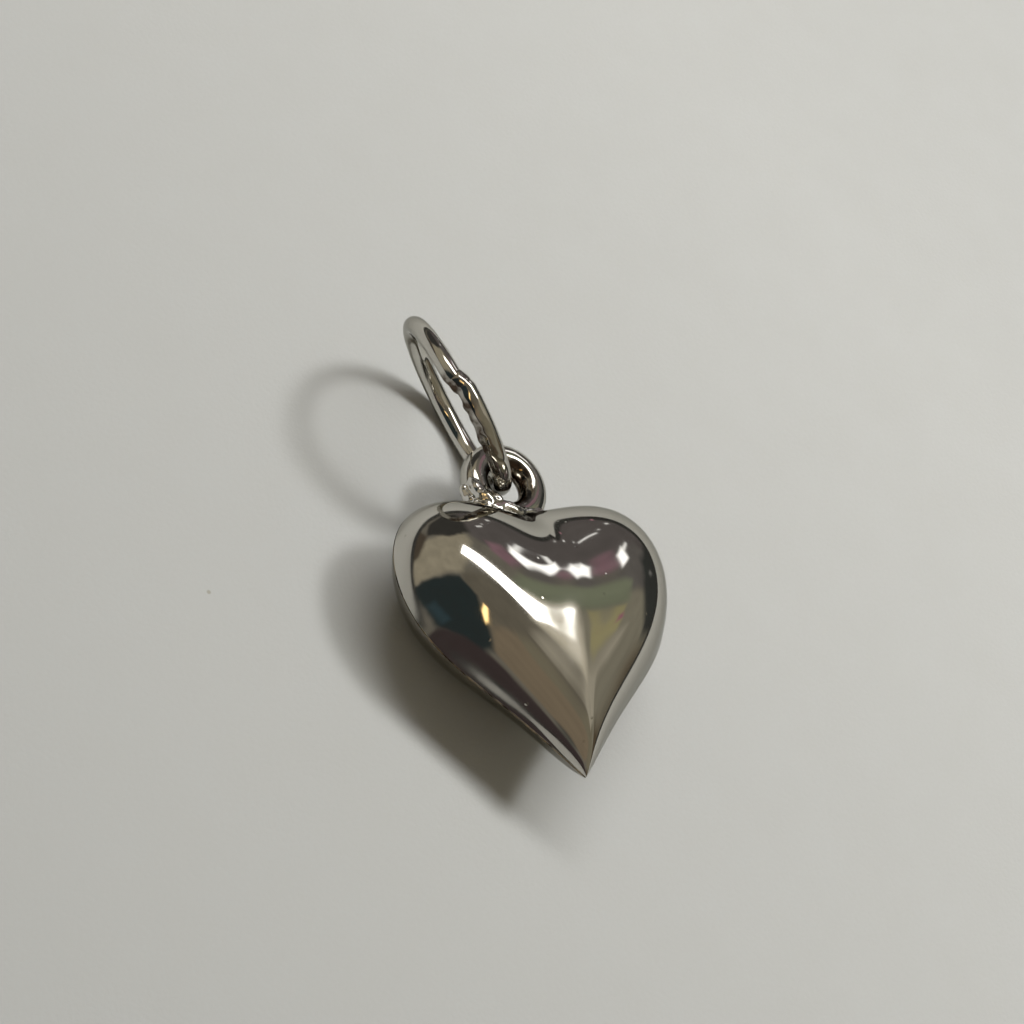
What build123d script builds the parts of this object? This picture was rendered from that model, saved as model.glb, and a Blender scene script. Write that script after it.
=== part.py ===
from build123d import *
from math import asin, cos, degrees, radians, sin
import os

# A small puffed heart charm of polished silver, lying on its back on a flat surface.
# Its own frame has the seam of the two halves in the plane z = 0, its mirror plane at x = 0,
# its point towards -Y and its hanging loop towards +Y. Lengths are in millimetres.

# Heart halves
heart_half_width = 6.26
heart_length = 11.6
tip_reach = 6.65
front_dome_height = 2.74
back_dome_height = 3.25
back_crown_shift = 0.9
wall = 0.32
seam_gap = 0.08
seam_recess = 0.05
flat_tolerance = 0.001

# Control rows of one half of a dome, from the point of the heart to the notch between its lobes.
# Across: shares of the half width. Along: shares of the length. Heights: shares of the dome height.
# Rim inward: how far the flank leans in above the rim, as a share of the way to the crown.
outline_across_shares = (0, 0.51, 0.67, 1.47, 1.18, 0.51, 0)
outline_along_shares = (0, 0.29, 0.51, 0.29, 1.41, 0.95, 1)
front_ridge_along_shares = (0, 0.12, 0.44, 0.52, 0.56, 0.81, 1)
front_ridge_height_shares = (0, 0.95, 0.91, 0.95, 1.24, 1.14, 0)
front_shoulder_height_shares = (0, 0.86, 0.97, 0.93, 0.88, 1.22, 0)
front_crown_height_shares = (0, 0.05, 0.76, 1.71, 1.57, 1.09, 0)
front_rim_inward_shares = (0, 0.39, 0.42, 0.22, 0, 0, 0)
back_ridge_along_shares = (0, 0.12, 0.44, 0.52, 0.55, 0.88, 1)
back_ridge_height_shares = (0, 0.82, 0.86, 0.97, 1.22, 1.04, 0)
back_shoulder_height_shares = (0, 0.82, 0.86, 0.97, 1.0, 1.33, 0)
back_crown_height_shares = (0, 0.05, 0.64, 1.59, 1.50, 1.13, 0)
back_rim_inward_shares = (0, 0, 0, 0.3, 0.2, 0, 0)
shoulder_across_share = 0.42
crown_across_share = 0.70
crown_along_share = 0.60
rim_height_share = 0.30

# Hanging loop: a closed ring of round wire with its foot filed to sit in the notch
loop_wire = 1.15
loop_hole = 1.55
loop_above_notch = 1.36
loop_behind_seam = 0.3

# Solder collar round the loop's foot, between the lobes
solder_thickness = 0.28
solder_reach = 0.3

# Jump ring: round wire, its two ends a little to one side of each other, joined by solder
ring_wire = 0.78
ring_outer = 8.18
ring_lean = 32.0
ring_twist = 19.0
ring_aside = 0.24
ring_towards_foot = 0.05
ring_above_loop_middle = 0.07
joint_turn = 92.0
joint_length = 0.6
joint_step = 0.26

# How the charm lies: its point is a little higher than its loop
rest_tilt = 2.0

notch_reach = heart_length - tip_reach
front_half = (
    front_dome_height,
    0,
    front_ridge_along_shares,
    front_ridge_height_shares,
    front_shoulder_height_shares,
    front_crown_height_shares,
    front_rim_inward_shares,
)
back_half = (
    back_dome_height,
    back_crown_shift,
    back_ridge_along_shares,
    back_ridge_height_shares,
    back_shoulder_height_shares,
    back_crown_height_shares,
    back_rim_inward_shares,
)


def dome_rows(half, inset):
    """Control points of the right half of a dome, drawn in by a wall all round."""
    height, crown_shift, ridge_alongs, ridge_heights, shoulder_heights, crown_heights, rim_inwards = half
    wide = (heart_half_width - inset) / heart_half_width
    long = (heart_length - 2 * inset) / heart_length
    tall = (height - inset) / height
    middle = notch_reach - heart_length / 2
    rows = []
    for i in range(len(outline_across_shares)):
        across = outline_across_shares[i] * heart_half_width
        along = outline_along_shares[i] * heart_length - tip_reach
        ridge_along = ridge_alongs[i] * heart_length - tip_reach
        if crown_heights[i] > 0:
            ridge_along += crown_shift
        crown_across = crown_across_share * across
        crown_along = ridge_along + crown_along_share * (along - ridge_along)
        rim_across = across + rim_inwards[i] * (crown_across - across)
        rim_along = along + rim_inwards[i] * (crown_along - along)
        rim_height = rim_height_share * crown_heights[i] * height
        row = (
            (0, ridge_along, ridge_heights[i] * height),
            (shoulder_across_share * across, ridge_along, shoulder_heights[i] * height),
            (crown_across, crown_along, crown_heights[i] * height),
            (rim_across, rim_along, rim_height),
            (across, along, 0),
        )
        rows.append([Vector(x * wide, middle + (y - middle) * long, z * tall) for x, y, z in row])
    return rows


def dome_solid(half, inset):
    """A filled dome: the right face, its mirror image and the flat base."""
    right = Face.make_bezier_surface(dome_rows(half, inset))
    left = right.mirror(Plane.YZ)
    rims = [edge for edge in right.edges() + left.edges() if abs(edge.center().Z) < flat_tolerance]
    base = Face(Wire(rims))
    return Solid(Shell([right, left, base]))


def half_shell(half):
    """One struck half: the outer dome with the inner dome taken out."""
    return dome_solid(half, 0) - dome_solid(half, wall)


def seam_band(outer_inset, inner_inset):
    """The thin flat line of solder between the two rims."""
    outer = dome_solid(front_half, outer_inset).faces().sort_by(Axis.Z)[0]
    inner = dome_solid(front_half, inner_inset).faces().sort_by(Axis.Z)[0]
    band = extrude(outer, seam_gap, dir=(0, 0, 1)) - extrude(inner, seam_gap, dir=(0, 0, 1))
    return Pos(0, 0, -seam_gap / 2) * band


def filled_heart():
    """The whole outer form of the heart, used to fit the loop and its solder against it."""
    front = Pos(0, 0, seam_gap / 2) * dome_solid(front_half, 0)
    back = Pos(0, 0, -seam_gap / 2) * dome_solid(back_half, 0).mirror(Plane.XY)
    belt = extrude(dome_solid(front_half, 0).faces().sort_by(Axis.Z)[0], seam_gap, dir=(0, 0, 1))
    return front + back + Pos(0, 0, -seam_gap / 2) * belt


loop_radius = (loop_hole + loop_wire) / 2
loop_centre = Vector(0, notch_reach + loop_above_notch, -loop_behind_seam)


def loop_ring():
    return Pos(*loop_centre) * Torus(loop_radius, loop_wire / 2)


def foot_solder(heart):
    """The collar of solder that runs round the loop's foot and fills the notch."""
    collar = Pos(*loop_centre) * Torus(loop_radius, loop_wire / 2 + solder_thickness)
    width = 4 * loop_radius
    below = (Align.CENTER, Align.MAX, Align.CENTER)
    foot_side = Pos(0, notch_reach + solder_reach, loop_centre.Z) * Box(width, width, width, align=below)
    return (collar & foot_side) - loop_ring() - heart


ring_radius = (ring_outer - ring_wire) / 2
joint_angle = degrees(joint_length / ring_radius)


def ring_half(side):
    """One half of the jump ring, from the point opposite the joint to one end of the wire."""
    arc = Torus(ring_radius, ring_wire / 2, major_angle=180 - joint_angle / 2, align=None)
    if side < 0:
        arc = arc.mirror(Plane.XZ)
    step_angle = degrees(asin(joint_step / (4 * ring_radius)))
    return Pos(ring_radius, 0, 0) * Rot(0, -side * step_angle, 0) * Pos(-ring_radius, 0, 0) * arc


def end_face(half):
    """The cut end of the wire beside the joint."""
    flats = half.faces().filter_by(GeomType.PLANE)
    return flats.sort_by(Axis.X)[0]


lying = Rot(-rest_tilt, 0, 0)
heart = filled_heart()
front_shell = lying * Pos(0, 0, seam_gap / 2) * half_shell(front_half)
back_shell = lying * Pos(0, 0, -seam_gap / 2) * half_shell(back_half).mirror(Plane.XY)
seam_solder = lying * seam_band(seam_recess, wall)
hanging_loop = lying * (loop_ring() - heart)
loop_solder = lying * foot_solder(heart)

# The ring passes through the loop close to its foot and stands on the surface, leaning over
floor_level = back_shell.bounding_box().min.Z
through = lying * Pos(*(loop_centre + Vector(-ring_aside, -ring_towards_foot, ring_above_loop_middle)))
passing = through.position
lean = radians(ring_lean)
twist = radians(ring_twist)
ring_normal = Vector(cos(lean) * cos(twist), cos(lean) * sin(twist), sin(lean))
outward = Vector(-sin(twist), cos(twist), 0)
upward = ring_normal.cross(outward)
centre_height = floor_level + ring_radius * cos(lean) + ring_wire / 2
ring_rise = asin((centre_height - passing.Z) / (ring_radius * cos(lean)))
ring_centre = passing + (outward * cos(ring_rise) + upward * sin(ring_rise)) * ring_radius
ring_place = Plane(origin=ring_centre, x_dir=outward, z_dir=ring_normal).location * Rot(0, 0, joint_turn + 180)
first_half = ring_half(1)
second_half = ring_half(-1)
jump_ring = ring_place * (first_half + second_half)
jump_ring_solder = ring_place * loft([end_face(first_half), end_face(second_half)])

nodes = {
    "front_shell": front_shell,
    "back_shell": back_shell,
    "seam_solder": seam_solder,
    "hanging_loop": hanging_loop,
    "loop_solder": loop_solder,
    "jump_ring": jump_ring,
    "jump_ring_solder": jump_ring_solder,
}

# The origin is on the surface, under the middle of the whole charm
whole = Compound(children=[Compound(piece.solids()) for piece in nodes.values()]).bounding_box()
to_origin = Pos(-whole.center().X, -whole.center().Y, -whole.min.Z)
pivot = to_origin * lying * Pos(*(loop_centre + Vector(0, loop_radius, 0)))
print("ring normal", ring_normal, "pivot", pivot.position)
print("ring centre", (to_origin * Pos(*ring_centre)).position, "passing", (to_origin * Pos(*passing)).position)
print("heart origin", (to_origin * lying).position)

os.makedirs("parts", exist_ok=True)
for name, piece in nodes.items():
    placed = to_origin * Compound(piece.solids())
    export_step(placed, f"parts/{name}.step")
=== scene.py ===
from math import asin, atan2, ceil, comb, cos, degrees, pi, radians, sin

import bmesh
import bpy
from mathutils import Matrix, Vector, noise


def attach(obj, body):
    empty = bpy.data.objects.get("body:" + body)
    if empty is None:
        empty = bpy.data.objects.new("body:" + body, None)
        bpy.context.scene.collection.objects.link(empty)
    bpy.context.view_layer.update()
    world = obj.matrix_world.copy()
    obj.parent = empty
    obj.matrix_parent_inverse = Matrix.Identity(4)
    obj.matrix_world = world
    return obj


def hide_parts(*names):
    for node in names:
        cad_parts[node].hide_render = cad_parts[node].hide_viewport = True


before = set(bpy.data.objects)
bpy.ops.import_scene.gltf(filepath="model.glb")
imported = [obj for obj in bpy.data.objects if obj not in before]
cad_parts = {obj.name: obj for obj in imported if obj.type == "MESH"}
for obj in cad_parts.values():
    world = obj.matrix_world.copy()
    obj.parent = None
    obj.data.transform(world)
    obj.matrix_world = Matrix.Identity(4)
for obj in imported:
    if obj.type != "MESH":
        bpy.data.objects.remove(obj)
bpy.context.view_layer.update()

# A small puffed heart charm of polished silver, lying on its back on pale paper.
# Lengths are written in millimetres and turned to metres by mm.
mm = 0.001

# Heart halves, in the heart's own frame: seam at height zero, point towards -Y, loop towards +Y.
# Control rows run from the point to the notch. Across: shares of the half width.
# Along: shares of the length. Heights: shares of the dome height.
heart_half_width = 6.26
heart_length = 11.6
tip_reach = 6.65
front_dome_height = 2.74
back_dome_height = 3.25
back_crown_shift = 0.9
wall = 0.32
seam_gap = 0.08
seam_recess = 0.05
outline_across_shares = (0, 0.51, 0.67, 1.47, 1.18, 0.51, 0)
outline_along_shares = (0, 0.29, 0.51, 0.29, 1.41, 0.95, 1)
front_ridge_along_shares = (0, 0.12, 0.44, 0.52, 0.53, 0.82, 1)
front_ridge_height_shares = (0, 0.75, 0.79, 0.86, 1.24, 1.14, 0)
front_shoulder_height_shares = (0, 0.50, 0.88, 0.87, 0.87, 1.21, 0)
front_crown_height_shares = (0, 0.07, 0.58, 1.75, 1.58, 1.09, 0)
front_rim_inward_shares = (0, 0.37, 0.48, 0.37, 0, 0, 0)
front_rim_height_shares = (0, 0.31, 0.33, 0.39, 0.39, 0.3, 0)
back_ridge_along_shares = (0, 0.12, 0.44, 0.52, 0.55, 0.88, 1)
back_ridge_height_shares = (0, 0.82, 0.86, 0.97, 1.22, 1.04, 0)
back_shoulder_height_shares = (0, 0.82, 0.86, 0.97, 1.0, 1.33, 0)
back_crown_height_shares = (0, 0.05, 0.64, 1.59, 1.50, 1.13, 0)
back_rim_inward_shares = (0, 0, 0, 0.3, 0.2, 0, 0)
back_rim_height_shares = (0, 0.3, 0.3, 0.3, 0.3, 0.3, 0)
shoulder_across_share = 0.42
crown_across_share = 0.70
crown_along_share = 0.60
steps_along = 180
steps_up = 84
steps_up_inside = 20
# The ridge is rounded over: a little below the notch, more and more towards the point
ridge_round_reach = 1.1
notch_round_reach = 0.5
notch_round_from = 2.7
notch_round_to = 1.9
ridge_round_from = 0.7
ridge_round_to = -1.1
ridge_round_turns = 60
# Edges sharper than this angle stay crisp, and points closer than this gap become one
crisp_angle = 50.0
weld_gap = seam_gap / 100

# Hanging loop
loop_wire = 1.15
loop_hole = 1.55
loop_above_notch = 1.36
loop_behind_seam = 0.3
loop_steps = (200, 72)
notch_reach = heart_length - tip_reach
loop_radius = (loop_hole + loop_wire) / 2
loop_centre = (0, notch_reach + loop_above_notch, -loop_behind_seam)

# Runs of solder, each a line of places with a radius, in the heart's own frame:
# bright ones round the loop's foot and up its left side, a rough dark one at the notch
foot_runs = (
    (
        (-1.75, 5.30, 0.00, 0.20),
        (-1.30, 5.16, 0.14, 0.32),
        (-0.80, 4.99, 0.22, 0.34),
        (-0.20, 4.90, 0.18, 0.34),
        (0.40, 4.86, 0.10, 0.33),
        (0.85, 4.84, 0.02, 0.30),
    ),
    (
        (-1.64, 6.55, -0.10, 0.18),
        (-1.66, 6.25, 0.00, 0.28),
        (-1.60, 5.93, 0.10, 0.33),
        (-1.46, 5.60, 0.14, 0.35),
        (-1.20, 5.30, 0.16, 0.34),
    ),
    ((-1.14, 5.90, 0.15, 0.18), (-1.10, 5.63, 0.20, 0.24), (-0.86, 5.36, 0.22, 0.25)),
    ((-1.88, 6.10, -0.25, 0.24), (-1.78, 5.60, -0.20, 0.30), (-1.30, 5.20, -0.15, 0.30)),
    ((-0.90, 5.00, -0.45, 0.40), (0.00, 4.95, -0.50, 0.45), (0.80, 5.00, -0.45, 0.38)),
)
rough_runs = (
    ((0.95, 4.86, 0.06, 0.30), (1.30, 4.66, 0.12, 0.33), (1.55, 4.86, 0.02, 0.25)),
    ((0.75, 4.60, 0.18, 0.22), (1.15, 4.46, 0.20, 0.25)),
)
run_step = 0.06
ball_steps = (24, 16)
solder_grain = 0.035
solder_smoothing = 10
foot_lump_size = 0.55
foot_lump = 0.09
rough_lump_size = 0.30
rough_lump = 0.12
fine_lump_scale = 2.7
fine_lump_share = 0.3

# Jump ring
ring_wire = 0.78
ring_outer = 8.18
ring_lean = 32.0
ring_twist = 19.0
ring_centre = (-1.79211, 6.13124, 3.52778)
ring_steps = (460, 56)
joint_turn = 92.0
joint_length = 0.9
joint_step = 0.26
joint_lump = 0.415
joint_lump_length = 0.62
joint_lump_unevenness = 0.05
joint_lump_scale = 3.1
joint_ball_steps = (64, 48)
# Solder run down the wire from the joint: its turn in degrees, its height, and how fast it starts and ends
side_run_turn = 62.0
side_run_height = 0.05
side_run_start = 6
side_run_end = 8
side_run_level = 0.6
side_run_change = 1.6
side_run_scale = 2.6

# Colours of the silver and its solder
silver_light = (0.58, 0.56, 0.515)
silver_brown = (0.085, 0.060, 0.045)
solder_light = (0.70, 0.68, 0.64)
rough_grey = (0.36, 0.32, 0.32)
rough_dark = (0.12, 0.10, 0.10)
joint_grey = (0.52, 0.49, 0.45)
edge_tint = (0.52, 0.52, 0.50, 1)
# Finish of each piece: colour, roughness, and the size and height of its slow unevenness
silver_finishes = {
    "heart_silver": (silver_light, 0.05, 3.0, 0.004),
    "loop_silver": (silver_light, 0.06, 0.7, 0.012),
    "ring_silver": (silver_light, 0.05, 0.9, 0.010),
    "foot_silver": (solder_light, 0.10, 0.5, 0.02),
    "blob_silver": (rough_grey, 0.36, 0.25, 0.06),
    "joint_silver": (joint_grey, 0.10, 0.5, 0.02),
}
# Dark tint round a spot: how far it reaches and the width of its border. Inside the loop's hole it is painted
# shade, along the ring's side tarnished silver with painted shade, at the ring's joint tarnished silver
loop_painted_shade = (1.2, 0.15)
foot_painted_shade = (0.85, 0.2)
ring_tarnish_and_shade = (0.42, 0.25)
joint_tarnish = (0.35, 0.3)
tint_spot_turns = (0, 15, 30, 45, 60)
# Pits, the finer unevenness, the changes of polish and the patches of the dark tint
pit_spacing = 0.9
pit_depth = 0.004
pit_middle = 0.03
pit_border = 0.09
pit_darkening = 0.2
fine_wave_share = 0.25
fine_wave_height_share = 0.08
polish_size = 1.4
polish_range = (0.35, 0.75)
polish_change = 2.2
tint_patch_size = 0.35
tint_patch_range = (0.38, 0.58)
tint_patch_least = 0.45

# Seam line
seam_roughness = 0.35
seam_dark = (0.05, 0.035, 0.028)
seam_bright = (0.55, 0.52, 0.48)
seam_break_size = 0.9
seam_break_range = (0.42, 0.56)
seam_bump_size = 0.2
seam_bump_depth = 0.03

# How the charm lies
rest_tilt = 2.0
heart_place = (0, -3.41609, 3.34647)

# Camera: its place and its right, up and backward directions
camera_place = (-54.69, -38.58, 79.14)
camera_right = (0.8436, -0.2180, 0.4908)
camera_up = (-0.0308, 0.8927, 0.4496)
camera_lens = 88.8
camera_sensor = 36.0
camera_near = 1.0
camera_far = 10000.0

# Lamps: panels overhead. Middle, length and width are shares of the height.
# They light the scene, and the silver shows them as the shapes among the room's lights.
lamp_height = 1000.0
lamps = (
    ("long_lamp", (0.045, 0.39), 1.31, 0.25, -44.7, 1.6),
    ("square_lamp", (0.50, 0.05), 0.24, 0.24, 0.0, 4.6),
)
lamp_colour = (1.0, 0.995, 0.97)

# Paper: painted shade darkens it slowly across the table, towards -X and -Y, in shares per metre. Sizes are
# in millimetres.
paper_light = (0.590, 0.603, 0.605)
paper_painted_shade = (0.425, 0.435, 0.436)
paper_mottle = (0.42, 0.41, 0.38)
paper_speck = (0.35, 0.34, 0.30)
paper_shade_slope = (28.0, 16.0, 0.0)
paper_specks = ((-12.6, -0.7, 0.0), (1.5, -21.6, 0.0))
paper_roughness = 0.9
mottle_size = 3.0
mottle_share = 0.07
grain_size = 0.16
grain_share = 0.06
speck_reach = 0.06
speck_border = 0.05
paper_bump_size = 0.2
paper_bump_depth = 0.01
table_width = 2000.0
# The part of a noise that is spread from nothing to all
noise_range = (0.3, 0.7)

# The room as shapes on a flattened dome: the zenith at the middle, the horizon at one.
# Each has a colour, the width of its soft border and its corners, turning left.
backdrop = (0.80, 0.79, 0.77)
room_level = 1.55
room_base = (0.13, 0.12, 0.10)
room_ripple = 0.05
ripple_scale = 9
ripple_detail = 3
cloud_colour = (0.02, 0.018, 0.016)
cloud_share = 0.22
horizon_from = 0.925
horizon_border = 0.03
horizon_dark = (0.030, 0.030, 0.028)
room_shapes = (
    # Ceiling and wall to the right
    ((0.187, 0.174, 0.136), 0.06, ((0.24, 0.00), (0.30, -1.2), (1.3, -1.2), (1.3, 0.10), (0.36, 0.13))),
    ((0.078, 0.059, 0.038), 0.10, ((0.52, -0.16), (0.60, -0.42), (1.2, -0.42), (1.2, -0.12))),
    ((0.078, 0.059, 0.038), 0.06, ((0.75, -0.62), (0.85, -0.82), (1.2, -0.70), (1.1, -0.56))),
    # Ceiling to the left and in front
    (
        (0.112, 0.100, 0.078),
        0.08,
        ((-0.35, 0.12), (-0.45, -0.45), (-0.05, -0.60), (0.22, 0.00), (0.0, 0.16)),
    ),
    (
        (0.157, 0.141, 0.101),
        0.05,
        ((0.26, -0.10), (-0.12, -0.26), (-0.26, -0.64), (0.34, -0.66), (0.42, -0.30)),
    ),
    (
        (0.310, 0.285, 0.230),
        0.04,
        ((0.10, -0.14), (0.16, -0.24), (0.42, -0.16), (0.44, -0.04), (0.28, -0.03)),
    ),
    (
        (0.168, 0.134, 0.094),
        0.05,
        ((-0.05, -0.22), (-0.28, -0.30), (-0.42, -0.50), (-0.36, -0.60), (-0.16, -0.50), (-0.02, -0.36)),
    ),
    ((0.078, 0.059, 0.038), 0.06, ((-0.38, -0.70), (-0.34, -1.1), (0.40, -1.1), (0.44, -0.70))),
    # Far wall: beige, with a dark doorway over it
    (
        (0.255, 0.228, 0.172),
        0.05,
        ((-1.1, 0.12), (-0.30, 0.13), (-0.12, 0.27), (0.02, 0.42), (0.00, 0.52), (-1.1, 0.66)),
    ),
    (
        (0.032, 0.031, 0.028),
        0.04,
        ((-0.45, 0.65), (-0.20, 0.52), (0.22, 0.50), (0.28, 0.85), (0.00, 0.90), (-0.30, 0.82)),
    ),
    ((0.060, 0.048, 0.036), 0.06, ((-1.0, 0.40), (-0.74, 0.44), (-0.45, 0.64), (-0.5, 1.0), (-1.1, 0.8))),
    # Window side
    (
        (0.088, 0.079, 0.077),
        0.06,
        ((0.05, 0.42), (0.20, 0.34), (0.30, 0.24), (0.9, 0.50), (0.9, 1.0), (0.24, 1.0)),
    ),
    ((0.195, 0.118, 0.140), 0.05, ((0.17, 0.34), (0.26, 0.26), (0.34, 0.32), (0.30, 0.41), (0.19, 0.43))),
    (
        (0.101, 0.094, 0.089),
        0.05,
        ((0.34, 0.14), (0.66, 0.14), (0.72, 0.42), (0.54, 0.50), (0.42, 0.36), (0.31, 0.24)),
    ),
    (
        (0.031, 0.033, 0.031),
        0.07,
        ((0.56, 0.08), (0.72, -0.10), (1.2, -0.10), (1.2, 0.50), (0.82, 0.54), (0.56, 0.34)),
    ),
    ((0.160, 0.160, 0.155), 0.03, ((0.68, 0.25), (0.72, 0.235), (0.77, 0.27), (0.72, 0.285))),
    # Green plant and a yellow lampshade
    ((0.150, 0.165, 0.115), 0.04, ((0.20, 0.06), (0.40, 0.075), (0.40, 0.20), (0.28, 0.22), (0.20, 0.16))),
    ((0.270, 0.245, 0.135), 0.015, ((0.342, -0.015), (0.385, -0.025), (0.390, 0.060), (0.350, 0.065))),
    ((0.260, 0.110, 0.150), 0.010, ((0.370, 0.010), (0.388, 0.010), (0.388, 0.030), (0.370, 0.030))),
    # Glow beside the near end of the long lamp
    ((0.50, 0.46, 0.37), 0.04, ((0.17, -0.05), (0.24, -0.07), (0.30, -0.02), (0.295, 0.07), (0.24, 0.10))),
    # A dark standing shape
    (
        (0.018, 0.025, 0.026),
        0.04,
        (
            (-1.0, 0.12),
            (-0.96, -0.10),
            (-0.82, -0.42),
            (-0.55, -0.60),
            (-0.42, -0.52),
            (-0.34, -0.36),
            (-0.28, -0.08),
            (-0.38, 0.09),
        ),
    ),
    ((0.026, 0.044, 0.052), 0.05, ((-0.90, -0.16), (-0.80, -0.38), (-0.72, -0.34), (-0.80, -0.14))),
    (
        (0.036, 0.027, 0.027),
        0.05,
        ((-0.42, -0.62), (-0.84, -0.40), (-1.1, -0.60), (-0.7, -1.1), (-0.4, -1.0)),
    ),
    ((0.110, 0.058, 0.066), 0.025, ((-0.54, -0.66), (-0.45, -0.50), (-0.42, -0.52), (-0.48, -0.68))),
)
room_lights = (
    # The long lamp
    (
        (4.4, 4.35, 4.20),
        0.012,
        ((-0.195, 0.300), (0.195, -0.034), (0.248, -0.012), (0.268, 0.058), (-0.100, 0.380)),
    ),
    # A warm flame-shaped light
    (
        (2.2, 1.5, 0.65),
        0.02,
        ((-0.345, -0.30), (-0.30, -0.27), (-0.225, -0.155), (-0.25, -0.135), (-0.315, -0.20)),
    ),
    # Window panes
    ((1.4, 1.4, 1.4), 0.02, ((0.347, 0.288), (0.408, 0.344), (0.378, 0.438), (0.328, 0.373))),
    ((0.9, 0.9, 0.9), 0.015, ((0.395, 0.400), (0.460, 0.470), (0.445, 0.480), (0.380, 0.425))),
    # Far small lights
    ((0.75, 0.75, 0.75), 0.01, ((0.425, 0.705), (0.465, 0.715), (0.460, 0.735), (0.425, 0.728))),
    ((0.85, 0.85, 0.85), 0.01, ((0.225, 0.590), (0.290, 0.598), (0.290, 0.612), (0.225, 0.606))),
    ((0.60, 0.60, 0.60), 0.01, ((0.312, 0.634), (0.328, 0.634), (0.328, 0.648), (0.312, 0.648))),
    ((0.75, 0.35, 0.45), 0.01, ((0.382, 0.800), (0.394, 0.800), (0.394, 0.820), (0.382, 0.820))),
)

lying = Matrix.Translation(Vector(heart_place) * mm) @ Matrix.Rotation(radians(-rest_tilt), 4, "X")
front_half = (
    front_dome_height,
    0,
    front_ridge_along_shares,
    front_ridge_height_shares,
    front_shoulder_height_shares,
    front_crown_height_shares,
    front_rim_inward_shares,
    front_rim_height_shares,
)
back_half = (
    back_dome_height,
    back_crown_shift,
    back_ridge_along_shares,
    back_ridge_height_shares,
    back_shoulder_height_shares,
    back_crown_height_shares,
    back_rim_inward_shares,
    back_rim_height_shares,
)


def bernstein(degree, i, t):
    """The share of control point i at t along a curve of this degree."""
    return comb(degree, i) * t ** i * (1 - t) ** (degree - i)


def dome_rows(half, inset):
    """Control points of the right half of a dome, drawn in by a wall all round."""
    height, crown_shift, ridge_alongs, ridge_heights, shoulder_heights, crown_heights = half[:6]
    rim_inwards, rim_heights = half[6:]
    wide = (heart_half_width - inset) / heart_half_width
    long = (heart_length - 2 * inset) / heart_length
    tall = (height - inset) / height
    middle = notch_reach - heart_length / 2
    rows = []
    for i in range(len(outline_across_shares)):
        across = outline_across_shares[i] * heart_half_width
        along = outline_along_shares[i] * heart_length - tip_reach
        ridge_along = ridge_alongs[i] * heart_length - tip_reach
        if crown_heights[i] > 0:
            ridge_along += crown_shift
        crown_across = crown_across_share * across
        crown_along = ridge_along + crown_along_share * (along - ridge_along)
        rim_across = across + rim_inwards[i] * (crown_across - across)
        rim_along = along + rim_inwards[i] * (crown_along - along)
        rim_height = rim_heights[i] * crown_heights[i] * height
        row = (
            (0, ridge_along, ridge_heights[i] * height),
            (shoulder_across_share * across, ridge_along, shoulder_heights[i] * height),
            (crown_across, crown_along, crown_heights[i] * height),
            (rim_across, rim_along, rim_height),
            (across, along, 0),
        )
        rows.append([Vector((x * wide, middle + (y - middle) * long, z * tall)) for x, y, z in row])
    return rows


def dome_grid(rows, along, up):
    """Points on the dome, from the point of the heart to the notch, and from the ridge to the rim."""
    last_row = len(rows) - 1
    last_point = len(rows[0]) - 1
    up_weights = [[bernstein(last_point, p, j / up) for p in range(last_point + 1)] for j in range(up + 1)]
    grid = []
    for i in range(along + 1):
        t = (1 - cos(pi * i / along)) / 2
        row_weights = [bernstein(last_row, r, t) for r in range(last_row + 1)]
        column = []
        for p in range(last_point + 1):
            column.append(sum((rows[r][p] * row_weights[r] for r in range(last_row + 1)), Vector((0, 0, 0))))
        line = []
        for weights in up_weights:
            line.append(sum((point * weight for point, weight in zip(column, weights)), Vector((0, 0, 0))))
        grid.append(line)
    return grid


def new_piece(name, mesh):
    """Puts a mesh in the scene under a name."""
    piece = bpy.data.objects.new(name, mesh)
    bpy.context.scene.collection.objects.link(piece)
    return piece


def only(piece):
    """Leaves just this piece selected and active."""
    bpy.ops.object.select_all(action="DESELECT")
    piece.select_set(True)
    bpy.context.view_layer.objects.active = piece


def put_in_place(piece, place):
    """Turns a mesh made in millimetres into metres and moves it to its place."""
    piece.data.transform(Matrix.Scale(mm, 4))
    piece.data.transform(place)


def sheet_faces(bm, grid, outward):
    """Adds a grid of points and the faces between them, right half and mirrored left half."""
    sheets = []
    for side in (1, -1):
        verts = [[bm.verts.new(Vector((p.x * side, p.y, p.z))) for p in line] for line in grid]
        sheets.append(verts)
        for i in range(len(verts) - 1):
            for j in range(len(verts[0]) - 1):
                corners = [verts[i][j], verts[i + 1][j], verts[i + 1][j + 1], verts[i][j + 1]]
                if (side > 0) != outward:
                    corners.reverse()
                bm.faces.new(corners)
    return sheets


def finish_mesh(bm, piece_name):
    """Closes the seams of a mesh, turns its faces outward and makes it a piece."""
    bmesh.ops.remove_doubles(bm, verts=bm.verts, dist=weld_gap)
    bmesh.ops.recalc_face_normals(bm, faces=bm.faces)
    mesh = bpy.data.meshes.new(piece_name)
    bm.to_mesh(mesh)
    bm.free()
    return new_piece(piece_name, mesh)


def round_ridge(piece):
    """Rubs down the ridge that runs from the middle of the front to the point."""
    group = piece.vertex_groups.new(name="ridge")
    for vert in piece.data.vertices:
        down = (ridge_round_from - vert.co.y) / (ridge_round_from - ridge_round_to)
        down = min(1, max(0, down))
        off = abs(vert.co.x) / (notch_round_reach + (ridge_round_reach - notch_round_reach) * down)
        start = (notch_round_from - vert.co.y) / (notch_round_from - notch_round_to)
        weight = max(0, 1 - off * off) * min(1, max(0, start))
        if weight > 0 and vert.co.z > seam_gap:
            group.add([vert.index], weight, "REPLACE")
    rub = piece.modifiers.new("rub", "SMOOTH")
    rub.vertex_group = "ridge"
    rub.iterations = ridge_round_turns
    only(piece)
    bpy.ops.object.modifier_apply(modifier="rub")
    piece.vertex_groups.clear()


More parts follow.
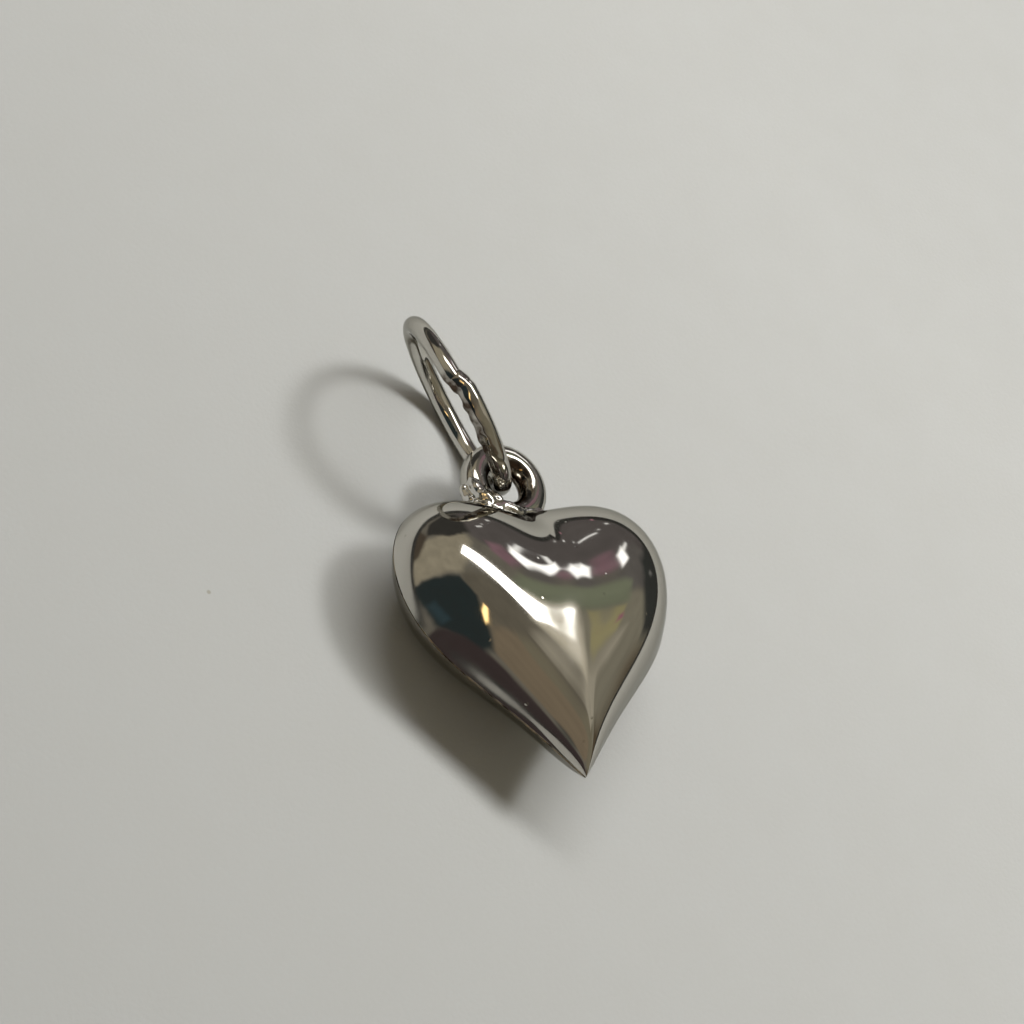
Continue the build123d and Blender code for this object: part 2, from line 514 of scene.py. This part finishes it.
def half_shell(name, half, up):
    """One struck half of the heart with its wall: up is 1 for the front and -1 for the back."""
    outside = dome_grid(dome_rows(half, 0), steps_along, steps_up)
    inside = dome_grid(dome_rows(half, wall), steps_along, steps_up_inside)
    bm = bmesh.new()
    outer = sheet_faces(bm, outside, True)
    inner = sheet_faces(bm, inside, False)
    for side in (0, 1):
        for i in range(steps_along):
            corners = [outer[side][i][-1], outer[side][i + 1][-1], inner[side][i + 1][-1], inner[side][i][-1]]
            bm.faces.new(corners)
    for vert in bm.verts:
        vert.co.z = up * (vert.co.z + seam_gap / 2)
    piece = finish_mesh(bm, name)
    if up > 0:
        round_ridge(piece)
    put_in_place(piece, lying)
    only(piece)
    bpy.ops.object.shade_smooth_by_angle(angle=radians(crisp_angle))
    return piece


def seam_band(name):
    """The thin line of solder between the two rims."""
    outside = dome_grid(dome_rows(front_half, seam_recess), steps_along, 1)
    inside = dome_grid(dome_rows(front_half, wall), steps_along, 1)
    bm = bmesh.new()
    for side in (1, -1):
        lines = []
        for grid, level in ((outside, 1), (outside, -1), (inside, -1), (inside, 1)):
            line = []
            for row in grid:
                p = row[-1]
                line.append(bm.verts.new(Vector((p.x * side, p.y, level * seam_gap / 2))))
            lines.append(line)
        for a in range(4):
            one = lines[a]
            two = lines[(a + 1) % 4]
            for i in range(steps_along):
                bm.faces.new([one[i], one[i + 1], two[i + 1], two[i]])
    piece = finish_mesh(bm, name)
    put_in_place(piece, lying)
    return piece


def wire_circle(name, radius, wire, along, around):
    """A closed circle of round wire about the middle, in millimetres."""
    bpy.ops.object.select_all(action="DESELECT")
    bpy.ops.mesh.primitive_torus_add(
        major_segments=along, minor_segments=around, major_radius=radius, minor_radius=wire / 2
    )
    piece = bpy.context.active_object
    piece.name = name
    bpy.ops.object.shade_smooth()
    return piece


def hanging_loop(name):
    """The closed ring of thick wire in the notch."""
    piece = wire_circle(name, loop_radius, loop_wire, *loop_steps)
    put_in_place(piece, lying @ Matrix.Translation(Vector(loop_centre) * mm))
    return piece


def run_balls(run):
    """Places and radii of balls set close together along a run of solder."""
    balls = []
    for first, last in zip(run, run[1:]):
        steps = ceil((Vector(last[:3]) - Vector(first[:3])).length / run_step)
        for i in range(steps + 1):
            balls.append([a + (b - a) * i / steps for a, b in zip(first, last)])
    return balls


def solder_runs(name, runs, lump_size, lump):
    """Solder that has flowed: balls joined along each run, made one skin, then made uneven."""
    bpy.ops.object.select_all(action="DESELECT")
    around, up = ball_steps
    bpy.ops.mesh.primitive_uv_sphere_add(segments=around, ring_count=up, radius=1)
    piece = bpy.context.active_object
    piece.name = name
    bm = bmesh.new()
    for run in runs:
        for x, y, z, radius in run_balls(run):
            ball = bmesh.new()
            ball.from_mesh(piece.data)
            ball.transform(Matrix.Translation((x, y, z)) @ Matrix.Scale(radius, 4))
            copy = bpy.data.meshes.new("ball")
            ball.to_mesh(copy)
            ball.free()
            bm.from_mesh(copy)
            bpy.data.meshes.remove(copy)
    bm.to_mesh(piece.data)
    bm.free()
    piece.data.remesh_voxel_size = solder_grain
    bpy.ops.object.voxel_remesh()
    smooth = piece.modifiers.new("smooth", "SMOOTH")
    smooth.iterations = solder_smoothing
    bpy.ops.object.modifier_apply(modifier="smooth")
    mesh = piece.data
    outwards = [vert.normal.copy() for vert in mesh.vertices]
    for vert, outward in zip(mesh.vertices, outwards):
        spot = vert.co / lump_size
        rise = noise.noise(spot) + noise.noise(spot * fine_lump_scale) * fine_lump_share
        vert.co += outward * lump * rise
    bpy.ops.object.shade_smooth()
    put_in_place(piece, lying)
    return piece


ring_radius = (ring_outer - ring_wire) / 2
lean = radians(ring_lean)
twist = radians(ring_twist)
ring_normal = Vector((cos(lean) * cos(twist), cos(lean) * sin(twist), sin(lean)))
ring_outward = Vector((-sin(twist), cos(twist), 0))
ring_upward = ring_normal.cross(ring_outward)
ring_frame = Matrix((ring_outward, ring_upward, ring_normal)).transposed().to_4x4()
ring_start = Matrix.Rotation(radians(joint_turn + 180), 4, "Z")
ring_place = Matrix.Translation(Vector(ring_centre) * mm) @ ring_frame @ ring_start


def jump_ring(name):
    """A circle of wire whose two ends meet a little out of line, with solder run down one side."""
    piece = wire_circle(name, ring_radius, ring_wire, *ring_steps)
    step_angle = asin(joint_step / (4 * ring_radius))
    for vert in piece.data.vertices:
        x, y, z = vert.co
        turn = degrees(atan2(y, x))
        step = sin(max(-1, min(1, 2 * y / joint_length)) * pi / 2)
        # Solder along the side of the wire, from the joint towards the hanging loop
        past = (turn + 180) / side_run_turn
        if 0 < past < 1 and z < 0:
            fade = min(1, side_run_start * past) * min(1, side_run_end * (1 - past))
            side = min(1, -2 * z / ring_wire)
            uneven = noise.noise(Vector((x, y, z)) * side_run_scale)
            swell = side_run_height * (side_run_level + uneven * side_run_change)
            out = Vector((x, y, 0)).normalized() * ring_radius
            away = (Vector((x, y, z)) - out).normalized()
            x, y, z = Vector((x, y, z)) + away * max(0, swell) * fade * side
        vert.co = (x, y, z + (x - ring_radius) * sin(step_angle) * step)
    put_in_place(piece, ring_place)
    return piece


def joint_solder(name):
    """The lump of solder over the ring's joint."""
    bpy.ops.object.select_all(action="DESELECT")
    around, up = joint_ball_steps
    bpy.ops.mesh.primitive_uv_sphere_add(segments=around, ring_count=up, radius=1)
    piece = bpy.context.active_object
    piece.name = name
    bpy.ops.object.shade_smooth()
    tilt = Matrix.Rotation(-atan2(joint_step, joint_length), 4, "X")
    for vert in piece.data.vertices:
        p = tilt @ Vector((vert.co.x * joint_lump, vert.co.y * joint_lump_length, vert.co.z * joint_lump))
        p += p.normalized() * noise.noise(p * joint_lump_scale) * joint_lump_unevenness
        vert.co = p - Vector((ring_radius, 0, 0))
    put_in_place(piece, ring_place)
    return piece


def shader_tree(name):
    """A new material with its node tree and its surface shader."""
    material = bpy.data.materials.new(name)
    material.use_nodes = True
    tree = material.node_tree
    return material, tree, tree.nodes["Principled BSDF"]


def object_place(tree):
    """The place on the piece, which turns and moves with it."""
    return tree.nodes.new("ShaderNodeTexCoord").outputs["Object"]


def noise_of(tree, size, detail, place):
    """Noise whose lumps are about this size in millimetres."""
    node = tree.nodes.new("ShaderNodeTexNoise")
    node.inputs["Scale"].default_value = 1 / (size * mm)
    node.inputs["Detail"].default_value = detail
    tree.links.new(place, node.inputs["Vector"])
    return node.outputs["Fac"]


def spread(tree, value, low, high, to_low, to_high):
    """Spreads a value from one range to another."""
    node = tree.nodes.new("ShaderNodeMapRange")
    for name, number in (("From Min", low), ("From Max", high), ("To Min", to_low), ("To Max", to_high)):
        node.inputs[name].default_value = number
    tree.links.new(value, node.inputs["Value"])
    return node.outputs["Result"]


def nearness(tree, place, spot, reach, soft):
    """1 within reach of a spot, falling to 0 over a soft border: all in millimetres."""
    gap = tree.nodes.new("ShaderNodeVectorMath")
    gap.operation = "DISTANCE"
    tree.links.new(place, gap.inputs[0])
    gap.inputs[1].default_value = Vector(spot) * mm
    return spread(tree, gap.outputs["Value"], reach * mm, (reach + soft) * mm, 1, 0)


def relief(tree, surface, heights):
    """Stacks bumps: each a height value and its depth in millimetres."""
    last = None
    for height, depth in heights:
        bump = tree.nodes.new("ShaderNodeBump")
        bump.inputs["Distance"].default_value = depth * mm
        tree.links.new(height, bump.inputs["Height"])
        if last is not None:
            tree.links.new(last, bump.inputs["Normal"])
        last = bump.outputs["Normal"]
    tree.links.new(last, surface.inputs["Normal"])


def silver(name, tarnish_and_shade, spots):
    """Polished silver: slow unevenness, fine pits, changes of polish, and a patchy dark tint round some
    spots, tarnished silver at some and painted shade at others.
    """
    colour, roughness, wave, wave_height = silver_finishes[name]
    material, tree, surface = shader_tree(name)
    surface.inputs["Metallic"].default_value = 1
    surface.inputs["Specular Tint"].default_value = edge_tint
    place = object_place(tree)
    # Tiny pits and dust, far apart
    cells = tree.nodes.new("ShaderNodeTexVoronoi")
    cells.inputs["Scale"].default_value = 1 / (pit_spacing * mm)
    tree.links.new(place, cells.inputs["Vector"])
    pits = spread(tree, cells.outputs["Distance"], pit_middle, pit_border, 1, 0)
    relief(tree, surface, (
        (noise_of(tree, wave, 1, place), wave_height),
        (noise_of(tree, wave * fine_wave_share, 2, place), wave_height * fine_wave_height_share),
        (pits, pit_depth),
    ))
    polish = noise_of(tree, polish_size, 5, place)
    polish = spread(tree, polish, *polish_range, roughness, roughness * polish_change)
    tree.links.new(polish, surface.inputs["Roughness"])
    tint_patches = spread(tree, noise_of(tree, tint_patch_size, 4, place), *tint_patch_range, tint_patch_least, 1)
    tint = mix(tree, colour, tarnish_and_shade, math(tree, "MULTIPLY", pits, pit_darkening))
    # Dark tint round each spot, made patchy: painted shade inside the loop's hole, tarnished silver with
    # painted shade along the ring's side, tarnished silver at its joint
    for spot, reach, soft in spots:
        near = nearness(tree, place, spot, reach, soft)
        tint = mix(tree, tint, tarnish_and_shade, math(tree, "MULTIPLY", near, tint_patches))
    tree.links.new(tint, surface.inputs["Base Color"])
    return material


def seam_line(name):
    """A thin line of solder, tarnished dark in some places and bright in others."""
    material, tree, surface = shader_tree(name)
    surface.inputs["Metallic"].default_value = 1
    surface.inputs["Roughness"].default_value = seam_roughness
    place = object_place(tree)
    broken = spread(tree, noise_of(tree, seam_break_size, 3, place), *seam_break_range, 0, 1)
    tree.links.new(mix(tree, seam_dark, seam_bright, broken), surface.inputs["Base Color"])
    relief(tree, surface, ((noise_of(tree, seam_bump_size, 3, place), seam_bump_depth),))
    return material


def paper(name):
    """Pale smooth paper, faintly mottled, with a few specks and a slow painted shade across it."""
    material, tree, surface = shader_tree(name)
    surface.inputs["Roughness"].default_value = paper_roughness
    place = object_place(tree)
    # Painted shade: the paper darkens slowly towards -X and -Y
    slope = tree.nodes.new("ShaderNodeVectorMath")
    slope.operation = "DOT_PRODUCT"
    slope.inputs[1].default_value = paper_shade_slope
    tree.links.new(place, slope.inputs[0])
    shade = spread(tree, slope.outputs["Value"], -1, 1, 0, 1)
    tint = mix(tree, paper_painted_shade, paper_light, shade)
    mottle = spread(tree, noise_of(tree, mottle_size, 4, place), *noise_range, 0, mottle_share)
    tint = mix(tree, tint, paper_mottle, mottle)
    grain = spread(tree, noise_of(tree, grain_size, 2, place), *noise_range, 0, grain_share)
    tint = mix(tree, tint, paper_mottle, grain)
    for spot in paper_specks:
        tint = mix(tree, tint, paper_speck, nearness(tree, place, spot, speck_reach, speck_border))
    tree.links.new(tint, surface.inputs["Base Color"])
    relief(tree, surface, ((noise_of(tree, paper_bump_size, 3, place), paper_bump_depth),))
    return material


def math(tree, operation, a, b=0.0, clamp=False):
    """A Math node: a and b are numbers or sockets."""
    node = tree.nodes.new("ShaderNodeMath")
    node.operation = operation
    node.use_clamp = clamp
    for socket, value in zip(node.inputs, (a, b)):
        if isinstance(value, (int, float)):
            socket.default_value = value
        else:
            tree.links.new(value, socket)
    return node.outputs[0]


def mix(tree, base, colour, amount):
    """Lays a colour over a base: each is a colour or a socket."""
    node = tree.nodes.new("ShaderNodeMix")
    node.data_type = "RGBA"
    parts = ((node.inputs["Factor"], amount), (node.inputs["A"], base), (node.inputs["B"], colour))
    for socket, value in parts:
        if isinstance(value, tuple):
            socket.default_value = (*value, 1)
        else:
            tree.links.new(value, socket)
    return node.outputs["Result"]


def inside(tree, spot, corners, soft):
    """1 inside a shape with straight sides and corners that all turn left, with a soft border."""
    least = None
    for i in range(len(corners)):
        a = Vector(corners[i])
        b = Vector(corners[(i + 1) % len(corners)])
        inward = Vector((a.y - b.y, b.x - a.x)).normalized() / soft
        side = tree.nodes.new("ShaderNodeVectorMath")
        side.operation = "DOT_PRODUCT"
        tree.links.new(spot, side.inputs[0])
        side.inputs[1].default_value = (inward.x, inward.y, 0.5 - inward.dot(a))
        value = side.outputs["Value"]
        least = value if least is None else math(tree, "MINIMUM", least, value)
    return math(tree, "ADD", least, 0.0, clamp=True)


def dome_spot(tree):
    """Where a direction meets a flattened dome: the zenith is at the middle, the horizon at one."""
    place = tree.nodes.new("ShaderNodeTexCoord")
    split = tree.nodes.new("ShaderNodeSeparateXYZ")
    tree.links.new(place.outputs["Generated"], split.inputs["Vector"])
    height = math(tree, "ADD", math(tree, "MAXIMUM", split.outputs["Z"], -0.5), 1.0)
    spot = tree.nodes.new("ShaderNodeCombineXYZ")
    tree.links.new(math(tree, "DIVIDE", split.outputs["X"], height), spot.inputs["X"])
    tree.links.new(math(tree, "DIVIDE", split.outputs["Y"], height), spot.inputs["Y"])
    spot.inputs["Z"].default_value = 1
    return spot.outputs["Vector"]


def room():
    """The room round the table, as the polished silver shows it."""
    world = bpy.data.worlds.new("room")
    bpy.context.scene.world = world
    world.use_nodes = True
    tree = world.node_tree
    tree.nodes.clear()
    spot = dome_spot(tree)
    # Furniture and cloth blur the outlines a little
    ripple = tree.nodes.new("ShaderNodeTexNoise")
    ripple.inputs["Scale"].default_value = ripple_scale
    ripple.inputs["Detail"].default_value = ripple_detail
    tree.links.new(spot, ripple.inputs["Vector"])
    shift = tree.nodes.new("ShaderNodeVectorMath")
    shift.operation = "MULTIPLY_ADD"
    tree.links.new(ripple.outputs["Color"], shift.inputs[0])
    shift.inputs[1].default_value = (room_ripple, room_ripple, 0)
    tree.links.new(spot, shift.inputs[2])
    wavy = shift.outputs["Vector"]
    colour = room_base
    for tint, soft, corners in room_shapes:
        amount = inside(tree, wavy, [(x + room_ripple / 2, y + room_ripple / 2) for x, y in corners], soft)
        colour = mix(tree, colour, tint, amount)
    cloud = spread(tree, ripple.outputs["Fac"], *noise_range, 0, cloud_share)
    colour = mix(tree, colour, cloud_colour, cloud)
    # Low down everything is in shade
    reach = tree.nodes.new("ShaderNodeVectorMath")
    reach.operation = "MULTIPLY"
    reach.inputs[1].default_value = (1, 1, 0)
    tree.links.new(wavy, reach.inputs[0])
    length = tree.nodes.new("ShaderNodeVectorMath")
    length.operation = "LENGTH"
    tree.links.new(reach.outputs["Vector"], length.inputs[0])
    shade = spread(tree, length.outputs["Value"], horizon_from, horizon_from + horizon_border, 0, 1)
    colour = mix(tree, colour, horizon_dark, shade)
    for tint, soft, corners in room_lights:
        colour = mix(tree, colour, tint, inside(tree, spot, corners, soft))
    sight = tree.nodes.new("ShaderNodeLightPath")
    seen = sight.outputs["Is Camera Ray"]
    colour = mix(tree, colour, backdrop, seen)
    light = tree.nodes.new("ShaderNodeBackground")
    tree.links.new(colour, light.inputs["Color"])
    tree.links.new(spread(tree, seen, 0, 1, room_level, 1), light.inputs["Strength"])
    out = tree.nodes.new("ShaderNodeOutputWorld")
    tree.links.new(light.outputs["Background"], out.inputs["Surface"])


def lamp(name, middle_shares, length_share, width_share, turn, power):
    """A flat panel of light overhead, which the silver doesn't show."""
    data = bpy.data.lights.new(name, "AREA")
    data.shape = "RECTANGLE"
    data.size = length_share * lamp_height * mm
    data.size_y = width_share * lamp_height * mm
    data.energy = power
    data.color = lamp_colour
    panel = bpy.data.objects.new(name, data)
    bpy.context.scene.collection.objects.link(panel)
    panel.location = Vector((*middle_shares, 1)) * lamp_height * mm
    panel.rotation_euler = (0, 0, radians(turn))
    panel.visible_glossy = False


def table():
    """The sheet of paper under the charm."""
    bpy.ops.object.select_all(action="DESELECT")
    bpy.ops.mesh.primitive_plane_add(size=table_width * mm, location=(0, 0, 0))
    floor = bpy.context.active_object
    floor.name = "paper_sheet"
    floor.data.materials.append(paper("paper"))


def camera_view():
    """The camera at its place, turned to its own right, up and backward directions."""
    data = bpy.data.cameras.new("camera")
    camera = bpy.data.objects.new("camera", data)
    bpy.context.scene.collection.objects.link(camera)
    right = Vector(camera_right).normalized()
    back = right.cross(Vector(camera_up)).normalized()
    up = back.cross(right)
    turn = Matrix((right, up, back)).transposed().to_4x4()
    camera.matrix_world = Matrix.Translation(Vector(camera_place) * mm) @ turn
    data.lens = camera_lens
    data.sensor_width = camera_sensor
    data.clip_start = camera_near * mm
    data.clip_end = camera_far * mm
    bpy.context.scene.camera = camera


hole = lying @ (Vector(loop_centre) * mm) / mm
ring_back = Vector((-ring_radius, 0, -ring_wire / 2))
turned_backs = [Matrix.Rotation(radians(turn), 4, "Z") @ ring_back for turn in tint_spot_turns]
side_run = [ring_place @ (back * mm) / mm for back in turned_backs]

heart_silver = silver("heart_silver", silver_brown, [])
# Painted shade: the loop darkens round the middle of its hole
loop_silver = silver("loop_silver", silver_brown, [(hole, *loop_painted_shade)])
# Dark tint along the ring's side by the solder run: tarnished silver and painted shade
ring_silver = silver("ring_silver", silver_brown, [(spot, *ring_tarnish_and_shade) for spot in side_run])
# Painted shade: the foot solder darkens inside the loop's hole
foot_silver = silver("foot_silver", silver_brown, [(hole, *foot_painted_shade)])
blob_silver = silver("blob_silver", rough_dark, [])
joint_silver = silver("joint_silver", silver_brown, [(side_run[0], *joint_tarnish)])
dark_seam = seam_line("seam_line")

foot_solder = solder_runs("foot_solder", foot_runs, foot_lump_size, foot_lump)
rough_solder = solder_runs("rough_solder", rough_runs, rough_lump_size, rough_lump)
pieces = (
    (half_shell("heart_front", front_half, 1), "heart", ("front_shell",), "heart_silver", heart_silver),
    (half_shell("heart_back", back_half, -1), "heart", ("back_shell",), "heart_silver", heart_silver),
    (seam_band("seam_band"), "heart", ("seam_solder",), "seam_line", dark_seam),
    (hanging_loop("fixed_loop"), "heart", ("hanging_loop",), "wire_silver", loop_silver),
    (foot_solder, "heart", ("loop_solder",), "solder", foot_silver),
    (rough_solder, "heart", ("loop_solder",), "solder", blob_silver),
    (jump_ring("swing_ring"), "ring", ("jump_ring",), "wire_silver", ring_silver),
    (joint_solder("ring_joint"), "ring", ("jump_ring_solder",), "solder", joint_silver),
)
for piece, body, nodes, slot, material in pieces:
    piece.data.materials.clear()
    piece.data.materials.append(material)
    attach(piece, body)
    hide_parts(*nodes)

room()
for row in lamps:
    lamp(*row)
table()
camera_view()
bpy.context.scene.view_settings.view_transform = "Standard"
